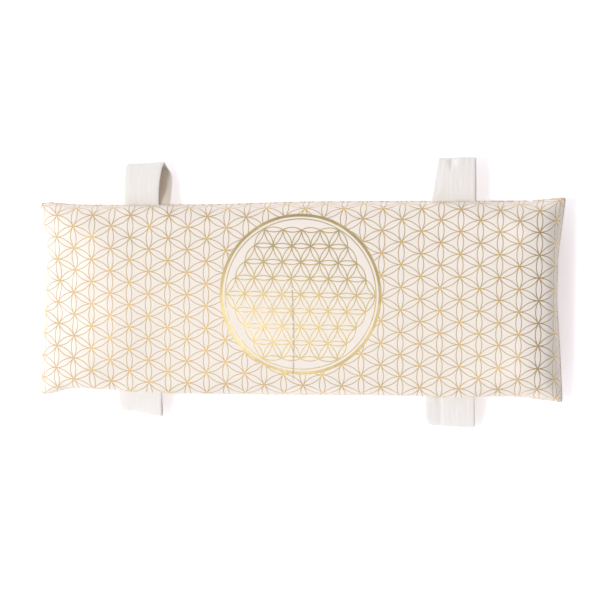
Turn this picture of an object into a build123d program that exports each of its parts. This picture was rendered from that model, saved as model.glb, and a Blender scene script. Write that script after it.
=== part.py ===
from build123d import *

import os
from math import atan2, cos, degrees, hypot, radians, sin

# A filled eye pillow. A cotton cover with four tape loops holds a sewn inner bag of seeds.
# Millimetres. The origin is on the table under the pillow's centre, +X runs along the
# pillow towards its zip end, +Y points to the upper loops and +Z is up.

# Filled cover
PILLOW_LENGTH = 234.0  # seam to seam along X
PILLOW_WIDTH = 87.0  # seam to seam along Y
PILLOW_THICKNESS = 26.0
SEAM_HEIGHT = 12.0  # of the seam line over the table
END_RUN = 30.0  # the underside slopes up to the seam over this much of each end
SIDE_RUN = 8.0  # and over this much of each long side
SHOULDER_RADIUS = 12.0  # of the upper edge, all round
COVER_FABRIC = 0.6
SEAM_ALLOWANCE = 5.0  # turned in between the panels
SEAM_GAP = 0.04  # between the two turned-in allowances

# Inner bag
BAG_FABRIC = 0.4
BAG_ALLOWANCE = 6.0
BAG_CLEARANCE = 0.4  # to the cover and to its turned-in allowance
BAG_FROM_ZIP = 0.2  # the bag's ends slope gently enough to clear the zip by this
BAG_SIDE_RUN = 10.0
BAG_SHOULDER_RADIUS = 11.0
FILL_CLEARANCE = 0.1

# Sewing thread
THREAD = 0.3
THREAD_FROM_EDGE = 0.5  # from the panel's inner face to the stitch line

# Loops of folded tape
TAPE_WIDTH = 20.0
TAPE_FABRIC = 0.9
PRESSED_TAPE = 0.46  # each of the two layers that are sewn into the seam
LOOP_FROM_CENTRE = 69.0  # each loop's middle, along X
LOOP_LENGTH = 20.0  # from the seam to the loop's end
LOOP_INSIDE_HEIGHT = 6.2
LOOP_NECK = 7.5  # from the hinge line to where the two layers run parallel
LOOP_GAP = 0.25  # between the loop's root and the cover
TAIL_CLEARANCE = 0.04
UPPER_LOOP_DROOP = 9.0  # degrees below level
LOWER_LOOP_DROOP = 28.0
LOOPS = {
    "upper_left": (-1, 1, UPPER_LOOP_DROOP),
    "upper_right": (1, 1, UPPER_LOOP_DROOP),
    "lower_left": (-1, -1, LOWER_LOOP_DROOP),
    "lower_right": (1, -1, LOWER_LOOP_DROOP),
}

# Zip across the underside's right-hand slope
ZIP_FROM_SEAM = 16.5  # down the slope from the seam to the chain's middle
ZIP_FROM_SIDE = 9.5  # from each long seam to the slit's end
ZIP_END_ROOM = 4.5  # in the slit beyond each end of the chain
ZIP_HEM = 5.5  # folded-in width beside the slit
ZIP_TAPE_OVERRUN = 1.5  # past each end of the slit
ZIP_TAPE_WIDTH = 8.6
ZIP_TAPE = 0.5
ZIP_CLEARANCE = 0.05
CHAIN_THICKNESS = 1.3
TOOTH_PITCH = 2.0
TOOTH_LENGTH = 0.85
TOOTH_REACH = 0.5  # past the chain's middle
TOOTH_ROOT = 0.7  # from the middle to the coil's back
COIL_HALF_WIDTH = 1.7
SLIDER_LENGTH = 9.5
SLIDER_WIDTH = 7.8
SLIDER_PLATE = 0.75
SLIDER_CHANNEL_HEIGHT = 1.6
SLIDER_LIP = 0.7
SLIDER_LIP_OPENING = 0.8
SLIDER_SIDE_GAP = 0.6  # to the folded edge at each side of the slit
WEDGE_LENGTH = 2.0
WEDGE_WIDTH = 2.2
BRIDGE_LENGTH = 6.4
BRIDGE_WIDTH = 1.4
BRIDGE_HEIGHT = 2.3
BRIDGE_METAL = 0.7
PULLER_LENGTH = 21.0  # from its pivot to its tip
PULLER_WIDTH = 4.6
PULLER_METAL = 0.8
PULLER_ARM = 0.9
PULLER_DROOP = 11.0  # degrees away from the slope, with its tip just over the table
STOP_LENGTH = 1.4
STOP_WIDTH = 1.6

# Places that follow from the sizes above
SLOPE = degrees(atan2(SEAM_HEIGHT, END_RUN))
ZIP_X = PILLOW_LENGTH / 2 - ZIP_FROM_SEAM * cos(radians(SLOPE))
ZIP_Z = SEAM_HEIGHT - ZIP_FROM_SEAM * sin(radians(SLOPE))
# The zip's own frame: x runs along the chain, y up the slope and z out of the cover.
ZIP_FRAME = Plane(
    origin=(ZIP_X, 0, ZIP_Z), x_dir=(0, 1, 0), z_dir=(sin(radians(SLOPE)), 0, -cos(radians(SLOPE)))
)
TAPE_DEPTH = -(2 * COVER_FABRIC + ZIP_CLEARANCE + ZIP_TAPE / 2)  # the zip tapes' middle layer
ZIP_SLIT_LENGTH = PILLOW_WIDTH - 2 * ZIP_FROM_SIDE
ZIP_SLIT_WIDTH = SLIDER_WIDTH + 2 * SLIDER_SIDE_GAP
ZIP_TAPE_LENGTH = ZIP_SLIT_LENGTH + 2 * ZIP_TAPE_OVERRUN
CHAIN_LENGTH = ZIP_SLIT_LENGTH - 2 * ZIP_END_ROOM
SLIDER_X = CHAIN_LENGTH / 2 - WEDGE_LENGTH / 2  # the slider's middle with the zip closed
SLIDER_TOP = TAPE_DEPTH + SLIDER_CHANNEL_HEIGHT / 2 + SLIDER_PLATE
PIVOT_HEIGHT = SLIDER_TOP + 0.3 + PULLER_METAL / 2
LOOP_RADIUS = LOOP_INSIDE_HEIGHT / 2 + TAPE_FABRIC  # outside, at the loop's end
LOOP_HINGE_Y = PILLOW_WIDTH / 2 + LOOP_GAP + TAPE_FABRIC
TAIL_INNER_Y = PILLOW_WIDTH / 2 - COVER_FABRIC - SEAM_ALLOWANCE
TAIL_POCKET = PRESSED_TAPE + TAIL_CLEARANCE  # how far each allowance lifts over a tail
BAG_SKIN = COVER_FABRIC + BAG_CLEARANCE  # from the cover's outside to the bag's
BAG_LENGTH = PILLOW_LENGTH - 2 * (BAG_SKIN + SEAM_ALLOWANCE)
BAG_DROP = SEAM_HEIGHT - BAG_SKIN  # from the seam to the bag's underside


def block(x, y, z):
    """A box between two limits on each axis."""
    size = Box(x[1] - x[0], y[1] - y[0], z[1] - z[0], align=(Align.MIN, Align.MIN, Align.MIN))
    return Pos(x[0], y[0], z[0]) * size


def side_view(half, run, floor, seam, top, radius, inset):
    """A filled section: flat base, slopes up to the seam, and round shoulders."""
    radius = min(radius, 0.95 * (top - seam))
    right = [(half - run, floor), (half, seam), (half, top)]
    left = [(-x, z) for x, z in reversed(right)]
    section = make_face(Polyline(*right, *left, close=True))
    section = fillet(section.vertices().group_by(Axis.Y)[-1], radius)
    if inset:
        section = offset(section, amount=-inset, kind=Kind.INTERSECTION)
    return section


def filled_form(length, width, end_run, side_run, floor, top, radius, inset=0.0):
    """The solid inside a filled cover, drawn in from its skin by inset."""
    along = side_view(length / 2, end_run, floor, SEAM_HEIGHT, top, radius, inset)
    across = side_view(width / 2, side_run, floor, SEAM_HEIGHT, top, radius, inset)
    long_bar = extrude(Plane.XZ * along, amount=width, both=True)
    cross_bar = extrude(Plane.YZ * across, amount=length, both=True)
    return long_bar & cross_bar


def cover_form(inset=0.0):
    return filled_form(
        PILLOW_LENGTH, PILLOW_WIDTH, END_RUN, SIDE_RUN, 0.0, PILLOW_THICKNESS, SHOULDER_RADIUS, inset
    )


def bag_end_run():
    """The run of the bag's sloping ends, which pass over the slider and the zip's lower tape."""
    slider_inside = SLIDER_TOP - SLIDER_CHANNEL_HEIGHT - 2 * SLIDER_PLATE
    tape_edge = COIL_HALF_WIDTH + ZIP_CLEARANCE + ZIP_TAPE_WIDTH
    corners = [
        (-SLIDER_WIDTH / 2, slider_inside),
        (SLIDER_WIDTH / 2, slider_inside),
        (-tape_edge, TAPE_DEPTH - ZIP_TAPE / 2),
    ]
    runs = []
    for y, depth in corners:
        corner = ZIP_FRAME.from_local_coords((0, y, depth - BAG_FROM_ZIP))
        runs.append((BAG_LENGTH / 2 - corner.X) * BAG_DROP / (SEAM_HEIGHT - corner.Z))
    return max(runs)


def bag_form(inset=0.0):
    return filled_form(
        BAG_LENGTH,
        PILLOW_WIDTH - 2 * (BAG_SKIN + SEAM_ALLOWANCE),
        bag_end_run(),
        BAG_SIDE_RUN,
        BAG_SKIN,
        PILLOW_THICKNESS - BAG_SKIN,
        BAG_SHOULDER_RADIUS,
        inset,
    )


def half_panel(form, fabric, allowance, side):
    """One panel: the skin on its side of the seam plane (1 over, -1 under) and its allowance."""
    skin = form() - form(fabric)
    whole = form().bounding_box()
    reach = whole.size.Z
    near = SEAM_HEIGHT + side * SEAM_GAP / 2
    across = (-whole.size.X, whole.size.X), (-whole.size.Y, whole.size.Y)
    keep = block(*across, sorted((near, near + side * reach)))
    turned_in = form() & block(*across, sorted((near, near + side * fabric)))
    window = fabric + allowance
    turned_in -= block(
        (whole.min.X + window, whole.max.X - window),
        (whole.min.Y + window, whole.max.Y - window),
        (0, PILLOW_THICKNESS),
    )
    return (skin & keep) + turned_in


def tail_places():
    """The middle of each loop along X, and the side of the pillow it is on."""
    return [(end * LOOP_FROM_CENTRE, side) for end, side, _ in LOOPS.values()]


def tail_space(x, side, over, grow, height, inward=0.0):
    """The space a sewn-in tail takes on one side of the seam plane, in the long edge."""
    half = TAPE_WIDTH / 2 + grow
    edge = sorted((side * (TAIL_INNER_Y - inward), side * (PILLOW_WIDTH / 2 + LOOP_GAP)))
    return block((x - half, x + half), edge, sorted((SEAM_HEIGHT, SEAM_HEIGHT + over * height)))


def cover_panel(over):
    """The front (1) or back (-1) of the cover, its allowance lifted over each tape tail."""
    panel = half_panel(cover_form, COVER_FABRIC, SEAM_ALLOWANCE, over)
    raised = []
    pockets = []
    for x, side in tail_places():
        raised.append(tail_space(x, side, over, COVER_FABRIC, TAIL_POCKET + COVER_FABRIC))
        pockets.append(tail_space(x, side, over, TAIL_CLEARANCE, TAIL_POCKET, TAIL_CLEARANCE))
    inside = cover_form(COVER_FABRIC / 2)
    for lift in raised:
        panel += lift & inside
    gap = block(
        (-PILLOW_LENGTH, PILLOW_LENGTH),
        (-PILLOW_WIDTH, PILLOW_WIDTH),
        sorted((SEAM_HEIGHT, SEAM_HEIGHT + over * SEAM_GAP / 2)),
    )
    for cut in [*pockets, gap]:
        panel -= cut
    return panel


def loop_tail(x, side):
    """The two pressed layers of tape between the allowances."""
    edge = sorted((side * TAIL_INNER_Y, side * PILLOW_WIDTH / 2))
    half = TAPE_WIDTH / 2
    near = TAIL_CLEARANCE / 2
    over = block((x - half, x + half), edge, (SEAM_HEIGHT + near, SEAM_HEIGHT + near + PRESSED_TAPE))
    under = block((x - half, x + half), edge, (SEAM_HEIGHT - near - PRESSED_TAPE, SEAM_HEIGHT - near))
    return Compound([over, under])


def teardrop(end_radius, root_radius, root_x):
    """A loop's outline with its hinge at the origin and its end along +X."""
    end_x = LOOP_LENGTH - LOOP_GAP - TAPE_FABRIC - LOOP_RADIUS
    round_end = Pos(end_x, 0) * Circle(end_radius)
    shoulder = Pos(LOOP_NECK, 0) * Circle(end_radius)
    root = Pos(root_x, 0) * Circle(root_radius)
    return make_hull([*round_end.edges(), *shoulder.edges(), *root.edges()])


def tape_loop(x, side, droop):
    """A band of tape from the hinge line at the seam, round and back, hanging by droop degrees."""
    outside = teardrop(LOOP_RADIUS, TAPE_FABRIC, 0.0)
    inside = teardrop(LOOP_RADIUS - TAPE_FABRIC, TAPE_FABRIC / 4, 2 * TAPE_FABRIC)
    band = extrude(Plane.YZ * (outside - inside), amount=TAPE_WIDTH / 2, both=True)
    band = Rot(X=-droop) * band
    if side < 0:
        band = Rot(Z=180) * band
    return Pos(x, side * LOOP_HINGE_Y, SEAM_HEIGHT) * band


def thread_ring(length, width, height):
    """A closed line of thread round a rectangle, its lower face at the given height."""
    outer = Box(length, width, THREAD, align=(Align.CENTER, Align.CENTER, Align.MIN))
    inner = Box(length - 2 * THREAD, width - 2 * THREAD, 2 * THREAD)
    return Pos(0, 0, height) * (outer - inner)


def under_inset(run, drop, fabric, depth):
    """How far in a thread lies that is this deep under the seam, inside the sloping underside."""
    return depth * run / drop + fabric * hypot(run, drop) / drop + THREAD_FROM_EDGE


def seam_thread(length, width, end_run, side_run, drop, fabric, lift_at_tails=0.0):
    """The needle line on the upper allowance and the bobbin line under the lower one."""
    lift = SEAM_GAP / 2 + fabric + TAIL_CLEARANCE
    inset = fabric + THREAD_FROM_EDGE
    over = thread_ring(length - 2 * inset, width - 2 * inset, SEAM_HEIGHT + lift)
    end_inset = under_inset(end_run, drop, fabric, lift + THREAD)
    side_inset = under_inset(side_run, drop, fabric, lift + THREAD + lift_at_tails)
    under = thread_ring(length - 2 * end_inset, width - 2 * side_inset, SEAM_HEIGHT - lift - THREAD)
    return over, under


def climb_over_tail(ring, x, side, over):
    """Lifts a thread over one tail's raised allowance, with a short upright piece at each side."""
    half = TAPE_WIDTH / 2 + COVER_FABRIC + TAIL_CLEARANCE + THREAD
    edge = sorted((side * PILLOW_WIDTH / 3, side * PILLOW_WIDTH))
    stretch = block((x - half, x + half), edge, (0, PILLOW_THICKNESS))
    level = ring & stretch
    lifted = Pos(0, 0, over * TAIL_POCKET) * level
    flat = level.bounding_box()
    high = lifted.bounding_box()
    upright = (flat.min.Y, flat.max.Y), (min(flat.min.Z, high.min.Z), max(flat.max.Z, high.max.Z))
    left = block((x - half, x - half + THREAD), *upright)
    right = block((x + half - THREAD, x + half), *upright)
    return (ring - stretch) + lifted + left + right


def cover_thread():
    rings = seam_thread(
        PILLOW_LENGTH, PILLOW_WIDTH, END_RUN, SIDE_RUN, SEAM_HEIGHT, COVER_FABRIC, TAIL_POCKET
    )
    lines = []
    for over, ring in zip((1, -1), rings):
        for x, side in tail_places():
            ring = climb_over_tail(ring, x, side, over)
        lines.append(ring)
    return Compound(lines)


def on_zip(shape):
    """Moves a shape drawn in the zip's frame to its place on the cover."""
    return ZIP_FRAME.location * shape


def zip_side(side):
    """The half-space on one side of the chain's middle: 1 up the slope, -1 down it."""
    size = PILLOW_LENGTH * 2
    edge = sorted((side * SEAM_GAP / 2, side * size))
    return on_zip(block((-size, size), edge, (-size, size)))


def zip_slit():
    half = ZIP_SLIT_LENGTH / 2
    return on_zip(block((-half, half), (-ZIP_SLIT_WIDTH / 2, ZIP_SLIT_WIDTH / 2), (-4, 1)))


def hem(side):
    """The fabric folded in beside the slit."""
    half = ZIP_SLIT_LENGTH / 2
    edge = sorted((side * ZIP_SLIT_WIDTH / 2, side * (ZIP_SLIT_WIDTH / 2 + ZIP_HEM)))
    return on_zip(block((-half, half), edge, (-2 * COVER_FABRIC, -COVER_FABRIC / 2)))


def back_pieces():
    """The large back panel and the end strip, parted along the zip."""
    back = cover_panel(-1)
    pieces = []
    for side in (-1, 1):
        pieces.append((back & zip_side(side)) + hem(side) - zip_slit())
    return pieces


def zip_tape(side):
    start = COIL_HALF_WIDTH + ZIP_CLEARANCE
    edge = sorted((side * start, side * (start + ZIP_TAPE_WIDTH)))
    half = ZIP_TAPE_LENGTH / 2
    return on_zip(block((-half, half), edge, (TAPE_DEPTH - ZIP_TAPE / 2, TAPE_DEPTH + ZIP_TAPE / 2)))


def zip_teeth(side):
    """One side of the closed chain: a coil's back with its teeth between the other side's."""
    count = int(CHAIN_LENGTH / TOOTH_PITCH)
    start = -CHAIN_LENGTH / 2 + (TOOTH_PITCH / 2 if side > 0 else 0)
    outline = [(-CHAIN_LENGTH / 2, side * COIL_HALF_WIDTH), (-CHAIN_LENGTH / 2, side * TOOTH_ROOT)]
    for tooth in range(count):
        left = start + tooth * TOOTH_PITCH + 0.05
        right = left + TOOTH_LENGTH
        outline += [
            (left, side * TOOTH_ROOT),
            (left, -side * TOOTH_REACH),
            (right, -side * TOOTH_REACH),
            (right, side * TOOTH_ROOT),
        ]
    outline += [(CHAIN_LENGTH / 2, side * TOOTH_ROOT), (CHAIN_LENGTH / 2, side * COIL_HALF_WIDTH)]
    face = make_face(Polyline(*outline, close=True))
    bar = extrude(face, amount=CHAIN_THICKNESS / 2, both=True)
    return on_zip(Pos(0, 0, TAPE_DEPTH) * bar)


def zip_stop(x, y, width):
    return on_zip(Pos(x, y, TAPE_DEPTH) * Box(STOP_LENGTH, width, CHAIN_THICKNESS))


def top_stops():
    x = SLIDER_X + SLIDER_LENGTH / 2 + ZIP_CLEARANCE + STOP_LENGTH / 2
    y = COIL_HALF_WIDTH + ZIP_CLEARANCE / 2 - STOP_WIDTH / 2
    return Compound([zip_stop(x, side * y, STOP_WIDTH) for side in (-1, 1)])


def bottom_stop():
    x = -CHAIN_LENGTH / 2 - ZIP_CLEARANCE - STOP_LENGTH / 2
    return zip_stop(x, 0, 2 * COIL_HALF_WIDTH)


def zip_stitching():
    """The two lines of thread that hold the tapes, on the outside of the cover."""
    from_middle = (ZIP_SLIT_WIDTH + ZIP_HEM) / 2
    line = Box(ZIP_SLIT_LENGTH, THREAD, THREAD)
    height = THREAD / 2 + ZIP_CLEARANCE
    return Compound([on_zip(Pos(0, side * from_middle, height) * line) for side in (-1, 1)])


def zip_slider():
    """Two plates joined by a wedge, lips that hold the coils in, and a bridge for the puller."""
    half = SLIDER_CHANNEL_HEIGHT / 2
    slider = Pos(0, 0, half + SLIDER_PLATE / 2) * Box(SLIDER_LENGTH, SLIDER_WIDTH, SLIDER_PLATE)
    slider += Pos(0, 0, -half - SLIDER_PLATE / 2) * Box(SLIDER_LENGTH, SLIDER_WIDTH, SLIDER_PLATE)
    slider = fillet(slider.edges().filter_by(Axis.Z), 1.5)
    lip_height = half - SLIDER_LIP_OPENING / 2
    for side in (-1, 1):
        for over in (-1, 1):
            y = side * (SLIDER_WIDTH - SLIDER_LIP) / 2
            z = over * (half - lip_height / 2)
            slider += Pos(0, y, z) * Box(SLIDER_LENGTH - 3.2, SLIDER_LIP, lip_height)
    nose = (SLIDER_LENGTH - WEDGE_LENGTH) / 2
    slider += Pos(nose, 0, 0) * Box(WEDGE_LENGTH, WEDGE_WIDTH, SLIDER_CHANNEL_HEIGHT)
    arch = Pos(0, 0, BRIDGE_HEIGHT / 2) * Box(BRIDGE_LENGTH, BRIDGE_WIDTH, BRIDGE_HEIGHT)
    arch -= Pos(0, 0, (BRIDGE_HEIGHT - BRIDGE_METAL) / 2) * Box(
        BRIDGE_LENGTH - 2 * BRIDGE_METAL, BRIDGE_WIDTH, BRIDGE_HEIGHT - BRIDGE_METAL
    )
    slider += Pos(0, 0, half + SLIDER_PLATE) * arch
    return on_zip(Pos(SLIDER_X, 0, TAPE_DEPTH) * slider)


def zip_puller():
    """A flat tab whose eye passes under the bridge, with its pivot at the origin."""
    from_right = (Align.MAX, Align.CENTER, Align.CENTER)
    eye = BRIDGE_LENGTH / 2 + 1.2
    tab = Box(PULLER_LENGTH - eye, PULLER_WIDTH, PULLER_METAL, align=from_right)
    tab = fillet(tab.edges().filter_by(Axis.Z).group_by(Axis.X)[0], PULLER_WIDTH / 3)
    hole_x = -PULLER_LENGTH + PULLER_WIDTH / 2 + 0.6
    puller = Pos(-eye, 0, 0) * tab - Pos(hole_x, 0, 0) * Cylinder(0.9, 2 * PULLER_METAL)
    for side in (-1, 1):
        y = side * (PULLER_WIDTH - PULLER_ARM) / 2
        arm = Box(eye + PULLER_METAL / 2, PULLER_ARM, PULLER_METAL, align=from_right)
        puller += Pos(PULLER_METAL / 2, y, 0) * arm
    puller += Rot(X=90) * Cylinder(PULLER_METAL / 2, PULLER_WIDTH)
    hanging = Rot(Y=PULLER_DROOP) * puller
    return on_zip(Pos(SLIDER_X, 0, PIVOT_HEIGHT) * hanging)


def seed_fill():
    """The seeds, clear of the inner bag, its allowances and its thread."""
    inset = BAG_FABRIC + FILL_CLEARANCE
    fill = bag_form(inset)
    bag = bag_form().bounding_box()
    edge = BAG_FABRIC + BAG_ALLOWANCE + FILL_CLEARANCE
    half = BAG_FABRIC + THREAD + TAIL_CLEARANCE + FILL_CLEARANCE
    band = block((bag.min.X, bag.max.X), (bag.min.Y, bag.max.Y), (SEAM_HEIGHT - half, SEAM_HEIGHT + half))
    core = block(
        (bag.min.X + edge, bag.max.X - edge),
        (bag.min.Y + edge, bag.max.Y - edge),
        (0, PILLOW_THICKNESS),
    )
    return fill - (band - core)


def bag_thread():
    size = bag_form().bounding_box().size
    return Compound(seam_thread(size.X, size.Y, bag_end_run(), BAG_SIDE_RUN, BAG_DROP, BAG_FABRIC))


def build_nodes():
    back_panel, end_strip = back_pieces()
    nodes = {
        "cover_front_panel": cover_panel(1),
        "cover_back_panel": back_panel,
        "cover_back_end_strip": end_strip,
        "cover_seam_thread": cover_thread(),
        "zip_tape_inner": zip_tape(-1),
        "zip_tape_outer": zip_tape(1),
        "zip_teeth_inner": zip_teeth(-1),
        "zip_teeth_outer": zip_teeth(1),
        "zip_top_stops": top_stops(),
        "zip_bottom_stop": bottom_stop(),
        "zip_stitching": zip_stitching(),
        "zip_slider": zip_slider(),
        "zip_puller": zip_puller(),
        "inner_bag_front_panel": half_panel(bag_form, BAG_FABRIC, BAG_ALLOWANCE, 1),
        "inner_bag_back_panel": half_panel(bag_form, BAG_FABRIC, BAG_ALLOWANCE, -1),
        "inner_bag_seam_thread": bag_thread(),
        "seed_fill": seed_fill(),
    }
    for name, (end, side, droop) in LOOPS.items():
        nodes[f"loop_{name}"] = tape_loop(end * LOOP_FROM_CENTRE, side, droop)
        nodes[f"loop_tail_{name}"] = loop_tail(end * LOOP_FROM_CENTRE, side)
    return nodes


os.makedirs("parts", exist_ok=True)
for node, shape in build_nodes().items():
    export_step(shape, f"parts/{node}.step")
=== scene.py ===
"""Eye pillow: printed cover with a zip in its back, seed bag and four tape loops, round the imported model."""

import math

import bpy
import numpy as np
from mathutils import Matrix, Vector


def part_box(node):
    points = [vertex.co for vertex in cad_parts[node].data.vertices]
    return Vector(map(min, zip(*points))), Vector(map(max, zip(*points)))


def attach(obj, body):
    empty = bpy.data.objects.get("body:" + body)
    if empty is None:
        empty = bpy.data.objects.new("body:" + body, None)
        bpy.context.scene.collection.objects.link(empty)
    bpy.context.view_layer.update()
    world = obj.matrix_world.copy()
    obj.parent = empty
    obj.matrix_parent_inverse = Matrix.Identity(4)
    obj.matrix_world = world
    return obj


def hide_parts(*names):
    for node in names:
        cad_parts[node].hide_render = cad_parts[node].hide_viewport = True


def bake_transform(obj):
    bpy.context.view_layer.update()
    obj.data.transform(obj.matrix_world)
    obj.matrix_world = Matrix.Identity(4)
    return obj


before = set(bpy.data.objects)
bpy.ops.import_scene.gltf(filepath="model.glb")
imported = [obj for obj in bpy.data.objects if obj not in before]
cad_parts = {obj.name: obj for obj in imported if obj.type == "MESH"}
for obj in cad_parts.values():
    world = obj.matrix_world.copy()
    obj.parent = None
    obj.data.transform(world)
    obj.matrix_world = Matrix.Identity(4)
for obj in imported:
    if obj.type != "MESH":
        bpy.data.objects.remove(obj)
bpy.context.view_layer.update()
MM = 0.001
PILLOW = "pillow"

# ---------------------------------------------------------------------------------------------
# Sizes, in millimetres
# ---------------------------------------------------------------------------------------------
cad_high = np.array(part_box("cover_front_panel")[1]) / MM
HALF_LENGTH, HALF_WIDTH = cad_high[0], cad_high[1]
SEAM_Z, TOP_Z = 12.0, cad_high[2]
FLAT_HALF_LENGTH, FLAT_HALF_WIDTH = 121.0, 46.0  # the cover's cloth, seam to seam
GRID_PITCH = 2.2
ZIP_U = 104.5  # the zip's middle line on the flat cloth
SLIT_HALF_WIDTH, SLIT_LOW, SLIT_HIGH = 4.5, -31.6, 34.0
ZIP_MIDDLE = np.array([101.68, 0.0, 5.87])
UP_SLOPE = np.array([0.928477, 0.0, 0.371391])
INTO_COVER = np.array([-0.371391, 0.0, 0.928477])
COVER_FABRIC = 0.6
LOOP_MIDDLE = 69.0
FILL_VOLUME = 405e3  # cubic millimetres inside the cover
SIM_SCALE = 0.01  # the cloth is simulated ten times too large, which suits Blender's solver
SETTLING_FRAMES = 46
PINNED_HALF_WIDTH, PINNED_FROM, PINNED_TO = 36.5, 90, 112.5  # the cloth held still round the zip
LOOP_PIN_HALF_WIDTH, LOOP_PIN_Y = 11, 43.0  # the seam held still at each loop's root
FLOOR_HALF = 3.0  # metres


# ---------------------------------------------------------------------------------------------
# Camera, floor and light
# ---------------------------------------------------------------------------------------------
def look_from(place, target):
    """The matrix of a camera or light at place that faces target, with +Y up in its picture"""
    back = (Vector(place) - Vector(target)).normalized()
    right = Vector((0, 1, 0)).cross(back).normalized()
    up = back.cross(right)
    turn = Matrix((right, up, back)).transposed().to_4x4()
    return Matrix.Translation(place) @ turn


CAMERA_DISTANCE = 1.1
CAMERA_TILT = (math.radians(6.0), math.radians(4.5))  # towards +X and +Y
CAMERA_TARGET = (0.0, -0.0009, 0.012)
SEEN_WIDTH = 0.2645  # across the picture at the target


def make_camera():
    data = bpy.data.cameras.new("camera")
    camera = bpy.data.objects.new("camera", data)
    bpy.context.scene.collection.objects.link(camera)
    away = Vector((math.tan(CAMERA_TILT[0]), math.tan(CAMERA_TILT[1]), 1)).normalized()
    place = Vector(CAMERA_TARGET) + away * CAMERA_DISTANCE
    camera.matrix_world = look_from(place, CAMERA_TARGET)
    data.sensor_width = 36
    data.lens = data.sensor_width * CAMERA_DISTANCE / SEEN_WIDTH
    bpy.context.scene.camera = camera


def make_light(name, place, target, size, energy, colour, **seen_by):
    data = bpy.data.lights.new(name, "AREA")
    data.shape = "DISK"
    data.size, data.energy, data.color = size, energy, colour
    light = bpy.data.objects.new(name, data)
    bpy.context.scene.collection.objects.link(light)
    light.matrix_world = look_from(place, target)
    for rays, seen in seen_by.items():
        setattr(light, rays, seen)


def make_stage():
    mesh = bpy.data.meshes.new("floor")
    half = FLOOR_HALF
    corners = [(-half, -half, 0), (half, -half, 0), (half, half, 0), (-half, half, 0)]
    mesh.from_pydata(corners, [], [(0, 1, 2, 3)])
    floor = bpy.data.objects.new("floor", mesh)
    bpy.context.scene.collection.objects.link(floor)
    material = bpy.data.materials.new("floor")
    material.use_nodes = True
    shader = material.node_tree.nodes["Principled BSDF"]
    shader.inputs["Base Color"].default_value = (0.95, 0.95, 0.95, 1)
    shader.inputs["Roughness"].default_value = 0.9
    shader.inputs["Emission Color"].default_value = (1.0, 0.94, 0.99, 1)
    shader.inputs["Emission Strength"].default_value = 0.36
    mesh.materials.append(material)

    world = bpy.data.worlds.new("world")
    bpy.context.scene.world = world
    world.use_nodes = True
    background = world.node_tree.nodes["Background"]
    background.inputs["Color"].default_value = (0.962, 0.945, 1.0, 1)
    # A softbox overhead that fades towards the pillow's right end
    nodes, links = world.node_tree.nodes, world.node_tree.links
    direction = nodes.new("ShaderNodeTexCoord").outputs["Generated"]
    across = nodes.new("ShaderNodeVectorMath")
    across.operation = "DOT_PRODUCT"
    across.inputs[1].default_value = (0.995, 0.1, 0.0)
    links.new(direction, across.inputs[0])
    fade = nodes.new("ShaderNodeMapRange")
    fade.interpolation_type = "SMOOTHSTEP"
    for key, value in (("From Min", -0.32), ("From Max", 0.22), ("To Min", 1.32), ("To Max", 0.32)):
        fade.inputs[key].default_value = value
    links.new(across.outputs["Value"], fade.inputs["Value"])
    links.new(fade.outputs[0], background.inputs["Strength"])
    middle = (0.0, 0.0, 0.0)
    make_light("key", (-0.85, -0.05, 1.9), middle, 0.5, 16.0, (1.0, 0.985, 0.96), visible_glossy=False)
    make_light("glow_in_foil", (-0.56, -0.50, 1.9), middle, 0.6, 4.6, (0.92, 0.94, 1.0), visible_diffuse=False)
    bpy.context.scene.view_settings.view_transform = "Standard"


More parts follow.
